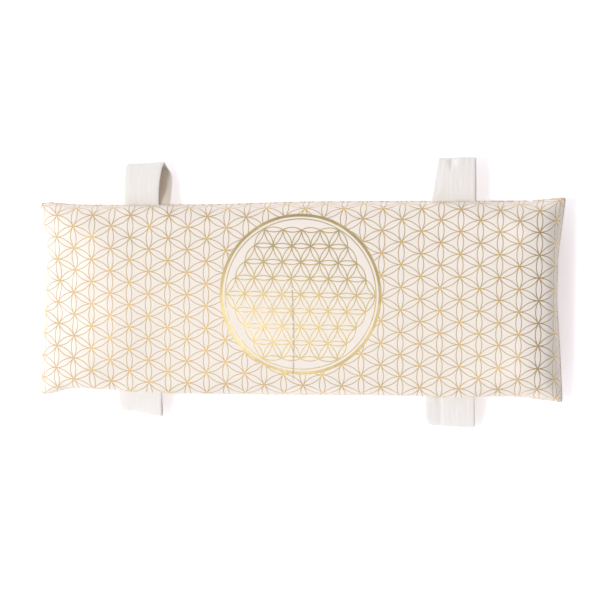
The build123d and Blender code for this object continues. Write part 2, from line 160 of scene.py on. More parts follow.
# ---------------------------------------------------------------------------------------------
# Materials
# ---------------------------------------------------------------------------------------------
class Tree:
    """A material's nodes, with short calls for the sums that they make"""

    def __init__(self, name, roughness, **settings):
        self.material = bpy.data.materials.new(name)
        self.material.use_nodes = True
        self.nodes = self.material.node_tree.nodes
        self.links = self.material.node_tree.links
        self.shader = self.nodes["Principled BSDF"]
        self.shader.inputs["Roughness"].default_value = roughness
        for key, value in settings.items():
            self.shader.inputs[key.replace("_", " ")].default_value = value

    def put(self, value, socket):
        if isinstance(value, bpy.types.NodeSocket):
            self.links.new(value, socket)
        else:
            socket.default_value = value

    def math(self, operation, *values):
        node = self.nodes.new("ShaderNodeMath")
        node.operation = operation
        for value, socket in zip(values, node.inputs):
            self.put(value, socket)
        return node.outputs[0]

    def vector(self, operation, *values):
        node = self.nodes.new("ShaderNodeVectorMath")
        node.operation = operation
        for value, socket in zip(values, node.inputs):
            self.put(value, socket)
        return node.outputs["Value" if operation in ("LENGTH", "DOT_PRODUCT", "DISTANCE") else "Vector"]

    def split(self, vector):
        node = self.nodes.new("ShaderNodeSeparateXYZ")
        self.put(vector, node.inputs[0])
        return node.outputs

    def join(self, x, y, z=0.0):
        node = self.nodes.new("ShaderNodeCombineXYZ")
        for value, socket in zip((x, y, z), node.inputs):
            self.put(value, socket)
        return node.outputs[0]

    def step(self, value, start, end, low=0.0, high=1.0):
        """A smooth step from low at start to high at end"""
        node = self.nodes.new("ShaderNodeMapRange")
        node.interpolation_type = "SMOOTHSTEP"
        for v, key in ((value, "Value"), (start, "From Min"), (end, "From Max"), (low, "To Min"), (high, "To Max")):
            self.put(v, node.inputs[key])
        return node.outputs[0]

    def mix(self, share, a, b):
        node = self.nodes.new("ShaderNodeMix")
        node.data_type = "RGBA"
        self.put(share, node.inputs["Factor"])
        for value, socket in ((a, node.inputs[6]), (b, node.inputs[7])):
            self.put((*value, 1.0) if isinstance(value, tuple) else value, socket)
        return node.outputs[2]

    def noise(self, place, scale, detail=3.0, roughness=0.5):
        node = self.nodes.new("ShaderNodeTexNoise")
        self.put(place, node.inputs["Vector"])
        node.inputs["Scale"].default_value = scale
        node.inputs["Detail"].default_value = detail
        node.inputs["Roughness"].default_value = roughness
        return node.outputs["Fac"]

    def cells(self, place, scale, output="Distance"):
        node = self.nodes.new("ShaderNodeTexVoronoi")
        self.put(place, node.inputs["Vector"])
        node.inputs["Scale"].default_value = scale
        return node.outputs[output]

    def cloth(self):
        """Where a point is on the flat cloth, in millimetres"""
        node = self.nodes.new("ShaderNodeAttribute")
        node.attribute_name = "cloth"
        return node.outputs["Vector"]

    def place(self):
        """Where a point is on the object, in metres"""
        return self.nodes.new("ShaderNodeTexCoord").outputs["Object"]

    def bump(self, height, distance, strength=1.0):
        node = self.nodes.new("ShaderNodeBump")
        self.put(height, node.inputs["Height"])
        node.inputs["Distance"].default_value = distance
        node.inputs["Strength"].default_value = strength
        self.links.new(node.outputs[0], self.shader.inputs["Normal"])

    def paint(self, colour):
        self.put((*colour, 1.0) if isinstance(colour, tuple) else colour, self.shader.inputs["Base Color"])


def weave(tree, flat, pitch):
    """Plain weave: threads of both directions, each over and under the other, from 0 to 1"""
    x, y, _ = tree.split(flat)
    across = tree.math("SINE", tree.math("MULTIPLY", x, math.pi / pitch))
    along = tree.math("SINE", tree.math("MULTIPLY", y, math.pi / pitch))
    crossing = tree.math("MULTIPLY", across, along)
    return tree.math("MULTIPLY_ADD", crossing, 0.5, 0.5)


def nearest_node(tree, flat, pitch):
    """A point relative to the nearest node of a hexagonal lattice whose rows run along x"""
    half = (pitch / 2, pitch * math.sqrt(3) / 2, 0.0)
    low = (-half[0], -half[1], -1.0)
    even = tree.vector("WRAP", flat, half, low)
    odd = tree.vector("WRAP", tree.vector("ADD", flat, half), half, low)
    nearer = tree.math("LESS_THAN", tree.vector("LENGTH", odd), tree.vector("LENGTH", even))
    node = tree.nodes.new("ShaderNodeMix")
    node.data_type = "VECTOR"
    tree.put(nearer, node.inputs["Factor"])
    tree.put(even, node.inputs[4])
    tree.put(odd, node.inputs[5])
    return node.outputs[1]


def arc(tree, point, centre, radius):
    """The distance from a point to a circle"""
    away = tree.vector("LENGTH", tree.vector("SUBTRACT", point, (*centre, 0.0)))
    return tree.math("ABSOLUTE", tree.math("SUBTRACT", away, radius))


def petals(tree, flat, pitch):
    """Distances to the overlapping circles: (to any, to the one that bulges beyond a row, to the node)"""
    near = tree.vector("ABSOLUTE", nearest_node(tree, flat, pitch))
    high = pitch * math.sqrt(3) / 2
    beyond = arc(tree, near, (pitch / 2, -high), pitch)
    side = arc(tree, near, (pitch, 0.0), pitch)
    over = arc(tree, near, (-pitch / 2, high), pitch)
    return tree.math("MINIMUM", beyond, tree.math("MINIMUM", side, over)), beyond, tree.vector("LENGTH", near)


PRINT_TURN = math.radians(-0.6)
LATTICE_PITCH = 9.86
LATTICE_NODE = (2.35, 2.65)
MEDALLION_MIDDLE = (1.3, 3.6)
MEDALLION_PITCH = 8.17
RING_INNER, RING_OUTER, THIN_RING = 34.2, 35.5, 33.1
LINE_HALF = 0.185
FOIL_HALF = 0.22
FOIL_NODE = 0.75  # the radius of the spot where the foil's lines meet


def turned(tree, flat, middle, turn):
    """Cloth coordinates about middle, turned"""
    node = tree.nodes.new("ShaderNodeVectorRotate")
    node.rotation_type = "Z_AXIS"
    tree.put(tree.vector("SUBTRACT", flat, (*middle, 0.0)), node.inputs["Vector"])
    node.inputs["Angle"].default_value = -turn
    return node.outputs[0]


def medallion(tree, flat):
    """(how much of a point is foil, how much is inside the outer ring)"""
    point = turned(tree, flat, MEDALLION_MIDDLE, PRINT_TURN)
    radius = tree.vector("LENGTH", point)
    folded = tree.vector("ABSOLUTE", point)
    over_line = (math.sqrt(3) / 2, -0.5, 0.0)
    past = tree.math("MAXIMUM", tree.vector("DOT_PRODUCT", folded, over_line), 0.0)
    scaled = tree.nodes.new("ShaderNodeVectorMath")
    scaled.operation = "SCALE"
    scaled.inputs[0].default_value = over_line
    tree.put(tree.math("MULTIPLY", past, 2.0), scaled.inputs["Scale"])
    folded = tree.vector("ABSOLUTE", tree.vector("SUBTRACT", folded, scaled.outputs[0]))
    lines, _, to_node = petals(tree, point, MEDALLION_PITCH)
    _, outer_arc, _ = petals(tree, folded, MEDALLION_PITCH)
    height = tree.split(folded)[1]
    edge = 2 * math.sqrt(3) * MEDALLION_PITCH
    bulge = MEDALLION_PITCH * (1 - math.sqrt(3) / 2)
    inside = tree.math("LESS_THAN", height, edge)
    in_strip = tree.math("LESS_THAN", height, edge + bulge + FOIL_HALF)
    far = 10.0
    lines = tree.math("MINIMUM", lines, tree.math("SUBTRACT", to_node, FOIL_NODE - FOIL_HALF))
    inner = tree.math("ADD", lines, tree.math("MULTIPLY", tree.math("SUBTRACT", 1.0, inside), far))
    outer = tree.math("ADD", outer_arc, tree.math("MULTIPLY", tree.math("SUBTRACT", 1.0, in_strip), far))
    rings = tree.math("ABSOLUTE", tree.math("SUBTRACT", radius, THIN_RING))
    band = tree.math("ABSOLUTE", tree.math("SUBTRACT", radius, (RING_INNER + RING_OUTER) / 2))
    band = tree.math("SUBTRACT", band, (RING_OUTER - RING_INNER) / 2 - FOIL_HALF)
    nearest = tree.math("MINIMUM", tree.math("MINIMUM", inner, outer), tree.math("MINIMUM", rings, band))
    foil = tree.step(nearest, FOIL_HALF - 0.07, FOIL_HALF + 0.07, 1.0, 0.0)
    return foil, tree.step(radius, RING_OUTER - 0.1, RING_OUTER + 0.1, 1.0, 0.0)


CLOTH_COLOUR = (0.855, 0.803, 0.722)
CLOTH_SHADE = (0.815, 0.755, 0.675)
INK_COLOUR = (0.490, 0.350, 0.125)
INK_NODE_COLOUR = (0.720, 0.440, 0.105)
FOIL_COLOUR = (0.540, 0.435, 0.205)
FOIL_SHADE = (0.480, 0.365, 0.150)
# The crease colour is painted shade, laid along the fold line below the medallion
CREASE_PAINTED_SHADE = (0.420, 0.300, 0.160)
THREAD_COLOUR, THREAD_SHADE = (0.86, 0.81, 0.73), (0.72, 0.66, 0.57)
CALICO_COLOUR, CALICO_SHADE = (0.80, 0.75, 0.66), (0.70, 0.64, 0.54)
# The third tape colour is painted shade, a darker beige laid on the tapes' inner faces
TAPE_COLOUR, TAPE_SHADE, TAPE_INNER_PAINTED_SHADE = (0.835, 0.815, 0.775), (0.785, 0.76, 0.71), (0.84, 0.74, 0.62)
ZIP_TAPE_COLOUR, ZIP_TAPE_SHADE = (0.80, 0.74, 0.64), (0.66, 0.59, 0.48)
TO_MM = (1000.0, 1000.0, 1000.0)
INK_METAL, FOIL_METAL = 0.75, 0.92
CLOTH_ROUGHNESS, INK_SHINE, FOIL_SHINE = 0.82, 0.42, 0.50  # shine is taken off the cloth's roughness


def cover_material(name, with_medallion):
    tree = Tree(name, CLOTH_ROUGHNESS, Sheen_Weight=0.12, Sheen_Roughness=0.5)
    flat = tree.cloth()
    slub = tree.noise(flat, 0.9, 4.0)
    patches = tree.noise(flat, 0.06, 2.0)
    tone = tree.math("MULTIPLY_ADD", slub, 0.7, tree.math("MULTIPLY", patches, 0.3))
    base = tree.mix(tone, CLOTH_COLOUR, CLOTH_SHADE)
    turned_cloth = turned(tree, flat, LATTICE_NODE, PRINT_TURN)
    x, y, _ = tree.split(turned_cloth)
    lines, _, to_node = petals(tree, tree.join(y, x), LATTICE_PITCH)
    ragged = tree.math("MULTIPLY_ADD", tree.noise(flat, 3.0, 2.0), 0.12, -0.06)
    lines = tree.math("ADD", lines, ragged)
    ink = tree.step(lines, LINE_HALF - 0.09, LINE_HALF + 0.09, 1.0, 0.0)
    ink_colour = tree.mix(tree.step(to_node, 0.5, 2.2, 1.0, 0.0), INK_COLOUR, INK_NODE_COLOUR)
    threads = weave(tree, flat, 0.42)
    worn = tree.math("MULTIPLY_ADD", threads, 0.12, 0.84)
    foil = None
    if with_medallion:
        foil, disc = medallion(tree, flat)
        ink = tree.math("MULTIPLY", ink, tree.math("SUBTRACT", 1.0, disc))
    colour = tree.mix(tree.math("MULTIPLY", ink, worn), base, ink_colour)
    wrinkles = tree.math("MULTIPLY", tree.noise(flat, 0.35, 3.0), 0.22)
    relief = 0.06
    if with_medallion:
        flaked = tree.step(tree.noise(flat, 2.2, 4.0, 0.7), 0.30, 0.36, 0.75, 1.0)
        foil = tree.math("MULTIPLY", foil, flaked)
        x, y, _ = tree.split(flat)
        fold = fold_line(tree, x, y)
        foil = tree.math("MULTIPLY", foil, tree.math("MULTIPLY_ADD", fold, -0.8, 1.0))
        # Painted shade darkens the cloth along the fold line
        colour = tree.mix(tree.math("MULTIPLY", fold, 0.75), colour, CREASE_PAINTED_SHADE)
        shade = tree.mix(tree.noise(flat, 0.05, 2.0), FOIL_COLOUR, FOIL_SHADE)
        colour = tree.mix(foil, colour, shade)
        wrinkles = tree.math("SUBTRACT", wrinkles, tree.math("MULTIPLY", fold, 0.12))
        relief = tree.math("MULTIPLY_ADD", foil, 0.01 - relief, relief)
    tree.paint(colour)
    metal = tree.math("MULTIPLY", ink, INK_METAL)
    shine = tree.math("MULTIPLY", ink, INK_SHINE)
    if with_medallion:
        metal = tree.math("MAXIMUM", metal, tree.math("MULTIPLY", foil, FOIL_METAL))
        shine = tree.math("MAXIMUM", shine, tree.math("MULTIPLY", foil, FOIL_SHINE))
    tree.put(metal, tree.shader.inputs["Metallic"])
    tree.put(tree.math("SUBTRACT", CLOTH_ROUGHNESS, shine), tree.shader.inputs["Roughness"])
    tree.bump(tree.math("MULTIPLY_ADD", threads, relief, wrinkles), MM, 0.55)
    return tree.material


def fold_line(tree, x, y):
    """The pressed line that runs down from the medallion's middle, from 0 to 1; it dents the cloth, breaks the foil
    and carries painted shade
    """
    wander = tree.math("MULTIPLY", tree.math("SINE", tree.math("MULTIPLY", y, 0.11)), 0.35)
    line = tree.math("ABSOLUTE", tree.math("ADD", x, tree.math("ADD", wander, 2.0)))
    along = tree.math("MULTIPLY", tree.step(y, -37.0, -30.0), tree.step(y, 6.0, 11.0, 1.0, 0.0))
    broken = tree.step(tree.noise(tree.join(0.0, y), 0.9, 1.0), 0.35, 0.5)
    return tree.math("MULTIPLY", tree.math("MULTIPLY", tree.step(line, 0.1, 0.5, 1.0, 0.0), broken), along)


SHADED_INNER_FACE = 30.0  # added to the cloth attribute's x on a tape's inner face, to mark where painted shade is laid


def woven_material(name, colour, shade, pitch, rib=0.0, inner=None):
    """Unprinted cloth or tape that carries the cloth attribute; inner is painted shade, a darker colour laid on a
    tape's inner face
    """
    tree = Tree(name, 0.85, Sheen_Weight=0.15, Sheen_Roughness=0.5)
    flat = tree.cloth()
    threads = weave(tree, flat, pitch)
    x, y, _ = tree.split(flat)
    ribs = tree.math("MULTIPLY_ADD", tree.math("SINE", tree.math("MULTIPLY", x, math.pi / 1.1)), 0.5, 0.5)
    streaks = tree.noise(tree.join(x, tree.math("MULTIPLY", y, 0.12)), 0.45, 4.0)
    tone = tree.math("MULTIPLY_ADD", streaks, 0.8, tree.math("MULTIPLY", threads, 0.2))
    outer = tree.mix(tone, colour, shade)
    # Painted shade: a tape's inner face takes the darker inner colour
    tree.paint(tree.mix(tree.step(x, SHADED_INNER_FACE * 0.5, SHADED_INNER_FACE * 0.6), outer, inner) if inner else outer)
    height = tree.math("MULTIPLY_ADD", ribs, rib, tree.math("MULTIPLY", threads, 0.1))
    tree.bump(tree.math("MULTIPLY_ADD", streaks, 0.6, height), MM, 0.6)
    return tree.material


def solid_woven_material(name, colour, shade, pitch):
    """Tape on a CAD node, woven in the object's own space"""
    tree = Tree(name, 0.8, Sheen_Weight=0.1)
    place = tree.vector("MULTIPLY", tree.place(), TO_MM)
    threads = weave(tree, place, pitch)
    tree.paint(tree.mix(tree.math("MULTIPLY_ADD", tree.noise(place, 0.8, 3.0), 0.6, threads), colour, shade))
    tree.bump(threads, 0.15 * MM, 0.8)
    return tree.material


def thread_material(name, colour, shade):
    tree = Tree(name, 0.6, Sheen_Weight=0.2)
    place = tree.vector("MULTIPLY", tree.place(), TO_MM)
    x, y, z = tree.split(place)
    twist = tree.math("SINE", tree.math("MULTIPLY", tree.math("ADD", tree.math("ADD", x, y), z), 9.0))
    twist = tree.math("MULTIPLY_ADD", twist, 0.5, 0.5)
    tree.paint(tree.mix(twist, colour, shade))
    tree.bump(twist, 0.05 * MM)
    return tree.material


def coil_material():
    tree = Tree("coil", 0.35, Coat_Weight=0.2)
    place = tree.place()
    tree.paint(tree.mix(tree.noise(place, 900.0), (0.72, 0.66, 0.56), (0.62, 0.56, 0.46)))
    tree.bump(tree.noise(place, 2500.0, 2.0), 0.03 * MM)
    return tree.material


def metal_material():
    tree = Tree("brass", 0.28, Metallic=1.0)
    place = tree.place()
    stretched = tree.vector("MULTIPLY", place, (1.0, 0.12, 1.0))
    scratches = tree.noise(stretched, 5200.0, 2.0, 0.7)
    tarnish = tree.noise(place, 260.0, 4.0)
    tree.paint(tree.mix(tree.step(tarnish, 0.35, 0.75), (0.80, 0.62, 0.30), (0.56, 0.40, 0.17)))
    tree.put(tree.math("MULTIPLY_ADD", scratches, 0.25, 0.18), tree.shader.inputs["Roughness"])
    tree.bump(scratches, 0.02 * MM, 0.6)
    return tree.material


def seed_material():
    tree = Tree("seeds", 0.4, Coat_Weight=0.15)
    place = tree.vector("MULTIPLY", tree.place(), (1.0, 1.7, 1.7))
    seeds = tree.cells(place, 330.0)
    tone = tree.split(tree.cells(place, 330.0, "Color"))[0]
    tree.paint(tree.mix(tone, (0.20, 0.085, 0.03), (0.38, 0.19, 0.075)))
    tree.bump(tree.math("SUBTRACT", 1.0, seeds), 1.2 * MM)
    return tree.material


# ---------------------------------------------------------------------------------------------
# The cover: flat cloth, filled and laid on the table
# ---------------------------------------------------------------------------------------------
def lines_through(stops, pitch):
    """Grid lines at every stop, and about a pitch apart between them"""
    found = [stops[0]]
    for a, b in zip(stops, stops[1:]):
        count = max(1, round((b - a) / pitch))
        found += [a + (b - a) * k / count for k in range(1, count + 1)]
    return np.array(found)


ACROSS = lines_through([-FLAT_HALF_LENGTH, 95, ZIP_U - SLIT_HALF_WIDTH, ZIP_U, ZIP_U + SLIT_HALF_WIDTH,
                        FLAT_HALF_LENGTH], GRID_PITCH)
ALONG = lines_through([-FLAT_HALF_WIDTH, SLIT_LOW, SLIT_HIGH, FLAT_HALF_WIDTH], GRID_PITCH)
ROWS, COLUMNS = len(ALONG), len(ACROSS)
U, V = np.meshgrid(ACROSS, ALONG)
IS_SEAM = np.zeros((ROWS, COLUMNS), bool)
IS_SEAM[[0, -1]] = True
IS_SEAM[:, [0, -1]] = True
FRONT = np.arange(ROWS * COLUMNS).reshape(ROWS, COLUMNS)
BACK = FRONT.copy()
BACK[1:-1, 1:-1] = ROWS * COLUMNS + np.arange((ROWS - 2) * (COLUMNS - 2)).reshape(ROWS - 2, COLUMNS - 2)


def cells_of(grid, flip):
    """A grid's faces, with its normal up, or down if flip"""
    faces = []
    for i in range(ROWS - 1):
        for j in range(COLUMNS - 1):
            face = [int(k) for k in (grid[i, j], grid[i, j + 1], grid[i + 1, j + 1], grid[i + 1, j])]
            faces.append(face[::-1] if flip else face)
    return faces


def first_shape():
    """(points, flat points, pinned points) of the cover before it is filled"""
    x = U * HALF_LENGTH / FLAT_HALF_LENGTH
    y = V * HALF_WIDTH / FLAT_HALF_WIDTH
    end, side = HALF_LENGTH - abs(x), HALF_WIDTH - abs(y)

    def crown(inset, run):
        short = np.clip(1 - inset / run, 0, 1)
        return 1 - short * short

    front_z = SEAM_Z + (TOP_Z - 1 - SEAM_Z) * np.sqrt(crown(end, 24) * crown(side, 14))
    back_z = np.maximum(0.3, np.maximum(SEAM_Z - 0.4 * end, SEAM_Z - 1.5 * side))
    count = BACK.max() + 1
    points, flat = np.zeros((count, 3)), np.zeros((count, 3))
    points[BACK] = np.stack([x, y, back_z], -1)
    points[FRONT] = np.stack([x, y, np.where(IS_SEAM, SEAM_Z, front_z)], -1)
    flat[BACK] = flat[FRONT] = np.stack([U, V, 0 * U], -1)
    zip_patch = (abs(V) <= PINNED_HALF_WIDTH) & (U >= PINNED_FROM) & (U <= PINNED_TO) & ~IS_SEAM
    on_slope = ZIP_MIDDLE + (U - ZIP_U)[..., None] * UP_SLOPE
    on_slope[..., 1] = V * 0.99
    points[BACK[zip_patch]] = on_slope[zip_patch]
    at_loops = (abs(V) == FLAT_HALF_WIDTH) & (abs(abs(U) - LOOP_MIDDLE) < LOOP_PIN_HALF_WIDTH)
    points[FRONT[at_loops], 1] = np.sign(V[at_loops]) * LOOP_PIN_Y
    return points, flat, np.r_[BACK[zip_patch], FRONT[at_loops]]


def fill_cover():
    """The cover's points once the seeds' pressure and weight have shaped it, by Blender's cloth solver"""
    start, flat, pinned = first_shape()
    scene = bpy.context.scene
    mesh = bpy.data.meshes.new("filled_cloth")
    mesh.from_pydata((start * SIM_SCALE).tolist(), [], cells_of(FRONT, False) + cells_of(BACK, True))
    cloth = bpy.data.objects.new("filled_cloth", mesh)
    scene.collection.objects.link(cloth)
    cloth.shape_key_add(name="Basis")
    key = cloth.shape_key_add(name="Flat")
    key.data.foreach_set("co", (flat * SIM_SCALE).astype(np.float32).ravel())
    cloth.vertex_groups.new(name="held").add([int(k) for k in pinned], 1.0, "REPLACE")
    solver = cloth.modifiers.new("cloth", "CLOTH")
    settings = solver.settings
    settings.quality = 6
    settings.mass = 0.3
    settings.air_damping = 2.0
    settings.tension_stiffness, settings.compression_stiffness = 30, 8
    settings.shear_stiffness, settings.bending_stiffness = 3, 0.4
    settings.tension_damping, settings.compression_damping, settings.shear_damping = 10, 10, 5
    settings.rest_shape_key = cloth.data.shape_keys.key_blocks["Flat"]
    settings.vertex_group_mass = "held"
    settings.use_pressure, settings.uniform_pressure_force, settings.pressure_factor = True, 0, 100
    settings.use_pressure_volume, settings.target_volume = True, FILL_VOLUME * SIM_SCALE**3
    settings.fluid_density = 0.02
    settings.effector_weights.gravity = 0.12
    solver.collision_settings.collision_quality = 3
    solver.collision_settings.distance_min = 0.002
    table_mesh = bpy.data.meshes.new("filling_table")
    table_mesh.from_pydata([(-3, -2, 0), (3, -2, 0), (3, 2, 0), (-3, 2, 0)], [], [(0, 1, 2, 3)])
    table = bpy.data.objects.new("filling_table", table_mesh)
    scene.collection.objects.link(table)
    table.modifiers.new("collision", "COLLISION")
    table.collision.thickness_outer, table.collision.thickness_inner = 0.002, 0.1
    solver.point_cache.frame_start, solver.point_cache.frame_end = 1, SETTLING_FRAMES
    scene.frame_start, scene.frame_end = 1, SETTLING_FRAMES
    for number in range(1, SETTLING_FRAMES + 1):
        scene.frame_set(number)
    shaped = cloth.evaluated_get(bpy.context.evaluated_depsgraph_get())
    result = np.empty(len(start) * 3, np.float32)
    shaped.to_mesh().vertices.foreach_get("co", result)
    shaped.to_mesh_clear()
    scene.frame_set(1)
    for thing in (cloth, table):
        data = thing.data
        bpy.data.objects.remove(thing)
        bpy.data.meshes.remove(data)
    return result.reshape(-1, 3).astype(float) / SIM_SCALE


def smooth(value, start, end):
    t = np.clip((value - start) / (end - start), 0, 1)
    return t * t * (3 - 2 * t)


UPPER_EDGE = ((-117, 42.5), (-100, 40.8), (-40, 41.2), (0, 42.6), (60, 43.2), (100, 43.4), (117, 45.0))
LOWER_EDGE = ((-117, -45.0), (-112, -45.0), (-103, -41.6), (-86, -42.0), (-40, -43.4), (30, -43.2),
              (95, -42.8), (117, -45.4))
LEFT_EDGE = ((-43, -118.2), (-26, -117.6), (8, -115.0), (24, -114.2), (34, -116.0), (42, -118.4))
RIGHT_EDGE = ((-46, 115.8), (-20, 114.2), (0, 112.8), (20, 113.2), (43, 116.4))


PATS = 20  # rounds of smoothing
SHOULDER_OUT = 3.0  # how far the fill pushes out over the right end
BLUNT_CORNERS = (((-118, 42.5), (1.6, -1.0)), ((-118, -44.6), (0.6, 0.3)))


def edge_at(edge, place):
    """A soft curve through an edge's listed points"""
    where, value = np.array(edge).T
    spread = np.linspace(-5, 5, 11)
    weights = np.exp(-((spread / 3) ** 2))
    return sum(w * np.interp(place + s, where, value) for s, w in zip(spread, weights)) / weights.sum()


def settle(points, outline):
    """Moves the filled shape's sides to where this pillow's lie, and leaves its middle and its zip alone"""
    x, y, z = points.T
    top, bottom = (np.interp(x, *outline[k]) for k in ("top", "bottom"))
    left, right = (np.interp(y, *outline[k]) for k in ("left", "right"))
    new = points.copy()
    upper = smooth(y / top, 0.55, 1.0)
    lower = smooth(y / bottom, 0.55, 1.0)
    new[:, 1] += upper * (edge_at(UPPER_EDGE, x) - top) + lower * (edge_at(LOWER_EDGE, x) - bottom)
    new[:, 0] += smooth(x / left, 0.82, 1.0) * (edge_at(LEFT_EDGE, y) - left)
    new[:, 0] += smooth(x / right, 0.955, 1.0) * (edge_at(RIGHT_EDGE, y) - right)
    shoulder = smooth(x, 74, 99) * smooth(x, 113, 104) * smooth(z, SEAM_Z, 20)
    new[:, 0] += SHOULDER_OUT * shoulder
    for corner, (along, across) in BLUNT_CORNERS:
        near = np.exp(-((new[:, 0] - corner[0]) ** 2 + (new[:, 1] - corner[1]) ** 2) / 2 / 2.5**2)
        new[:, 0] += along * near
        new[:, 1] += across * near
    return new


def pat_flat(points):
    """Smooths the top's height away from the edges, as a hand does when the pillow is laid down"""
    x, y, z = (points[FRONT][..., k] for k in range(3))
    soft = z.copy()
    for _ in range(PATS):
        soft[:, 1:-1] = (soft[:, :-2] + 2 * soft[:, 1:-1] + soft[:, 2:]) / 4
        soft[1:-1] = (soft[:-2] + 2 * soft[1:-1] + soft[2:]) / 4
    share = smooth(abs(x), 98, 84) * smooth(abs(y), 36, 26)
    new = points.copy()
    new[FRONT, 2] = z + share * (soft - z)
    return new


def outline_of(points):
    """The filled shape's seen edges: y of both sides along x, x of both ends along y"""
    grid = points[FRONT]
    bulge = points[BACK]
    top = np.maximum(grid[..., 1].max(0), bulge[..., 1].max(0))
    bottom = np.minimum(grid[..., 1].min(0), bulge[..., 1].min(0))
    middle = grid[ROWS // 2, :, 0]
    left = np.minimum(grid[..., 0].min(1), bulge[..., 0].min(1))
    right = np.maximum(grid[..., 0].max(1), bulge[..., 0].max(1))
    beside = grid[:, COLUMNS // 2, 1]
    return {"top": (middle, top), "bottom": (middle, bottom), "left": (beside, left), "right": (beside, right)}


def lay_out(points):
    """Where each of a grid's points is on the cloth, by the cloth's length from its middle lines"""
    flat = np.zeros_like(points)
    for axis, lines in ((0, ALONG), (1, ACROSS)):
        lengths = np.linalg.norm(np.diff(points, axis=axis), axis=-1)
        run = np.insert(np.cumsum(lengths, axis=axis), 0, 0.0, axis=axis)
        run = run - np.take(run, [int(np.argmin(abs(lines)))], axis=axis)
        flat[..., 1 - axis] = run
    return flat


def add_object(name, points, faces, material, body=PILLOW, flat=None):
    """A mesh object from millimetre points, riding on a body"""
    mesh = bpy.data.meshes.new(name)
    mesh.from_pydata((np.asarray(points) * MM).tolist(), [], faces)
    if flat is not None:
        attribute = mesh.attributes.new("cloth", "FLOAT_VECTOR", "POINT")
        attribute.data.foreach_set("vector", np.asarray(flat, np.float32).ravel())
    mesh.materials.append(material)
    mesh.polygons.foreach_set("use_smooth", [True] * len(mesh.polygons))
    mesh.validate()
    mesh.update()
    obj = bpy.data.objects.new(name, mesh)
    bpy.context.scene.collection.objects.link(obj)
    if body:
        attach(obj, body)
    return obj


class Panel:
    """One panel of cloth being built: points, their places in the cut and in the print, and faces"""

    def __init__(self):
        self.points, self.flat, self.printed, self.faces = [], [], [], []

    def add(self, point, flat, printed):
        self.points.append(np.array(point, float))
        self.flat.append(np.array(flat, float))
        self.printed.append(np.array(printed, float))
        return len(self.points) - 1

    def open_edges(self):
        """The directed edges that only one face has"""
        edges = {}
        for face in self.faces:
            for a, b in zip(face, face[1:] + face[:1]):
                edges[a, b] = True
        return [(a, b) for a, b in edges if (b, a) not in edges]

    def turn_in(self, steps):
        """Grows the open edge by rows of new points: each step gives a point's (move, move on the flat cloth)"""
        edge = self.open_edges()
        row = {k: k for pair in edge for k in pair}
        for step in steps:
            new = {}
            for k in row:
                move, flat_move = step(self.points[k], self.flat[k])
                new[k] = self.add(self.points[k] + move, self.flat[k] + flat_move, self.printed[k] + flat_move)
            for a, b in edge:
                self.faces.append([row[b], row[a], new[a], new[b]])
            row = new


def seam_direction(flat):
    """Inwards from the seam, level, at a place on the flat cloth"""
    across = np.clip(abs(flat[0]) - FLAT_HALF_LENGTH + 1, 0, 1) * -np.sign(flat[0])
    along = np.clip(abs(flat[1]) - FLAT_HALF_WIDTH + 1, 0, 1) * -np.sign(flat[1])
    return np.array([across, along, 0.0])


def seam_step(inset, rise):
    def step(point, flat):
        direction = seam_direction(flat)
        return direction * inset + np.array([0, 0, rise]), -direction * inset

    return step


def back_step(inset, rise, hem_inset, hem_depth, sign):
    """The seam's allowance where the panel meets the front, and the hem where it meets the zip"""

    def step(point, flat):
        direction = seam_direction(flat)
        if direction.any():
            return direction * inset - np.array([0, 0, rise]), -direction * inset
        at_join = not SLIT_LOW - 0.01 < flat[1] < SLIT_HIGH + 0.01
        beside_slit = SLIT_LOW + 0.01 < flat[1] < SLIT_HIGH - 0.01
        if not beside_slit and abs(flat[0] - ZIP_U) > 0.01:
            away = np.array([0.0, np.sign(flat[1]), 0.0])
        else:
            away = UP_SLOPE * sign
        apart = 0.02 if at_join and hem_inset < 1 else hem_inset
        return away * apart + INTO_COVER * hem_depth, np.array([away[0], away[1], 0]) * apart

    return step


def finish_cloth(obj, thickness):
    thick = obj.modifiers.new("thickness", "SOLIDIFY")
    thick.thickness = thickness * MM
    thick.offset = -1
    rounded = obj.modifiers.new("smooth", "SUBSURF")
    rounded.levels = rounded.render_levels = 1


SEAM_OPEN = 0.16  # half the groove between the two panels at the seam


def make_front(points, material):
    panel = Panel()
    number = {}
    printed = lay_out(points[FRONT])
    for i in range(ROWS):
        for j in range(COLUMNS):
            lift = np.array([0, 0, SEAM_OPEN if IS_SEAM[i, j] else 0])
            number[i, j] = panel.add(points[FRONT[i, j]] + lift, (U[i, j], V[i, j], 0), printed[i, j])
    for i in range(ROWS - 1):
        for j in range(COLUMNS - 1):
            panel.faces.append([number[i, j], number[i, j + 1], number[i + 1, j + 1], number[i + 1, j]])
    panel.turn_in([seam_step(0.7, -0.1), seam_step(4.6, -0.1)])
    obj = add_object("cover_front", panel.points, panel.faces, material, flat=panel.printed)
    finish_cloth(obj, COVER_FABRIC)
    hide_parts("cover_front_panel")
    return obj


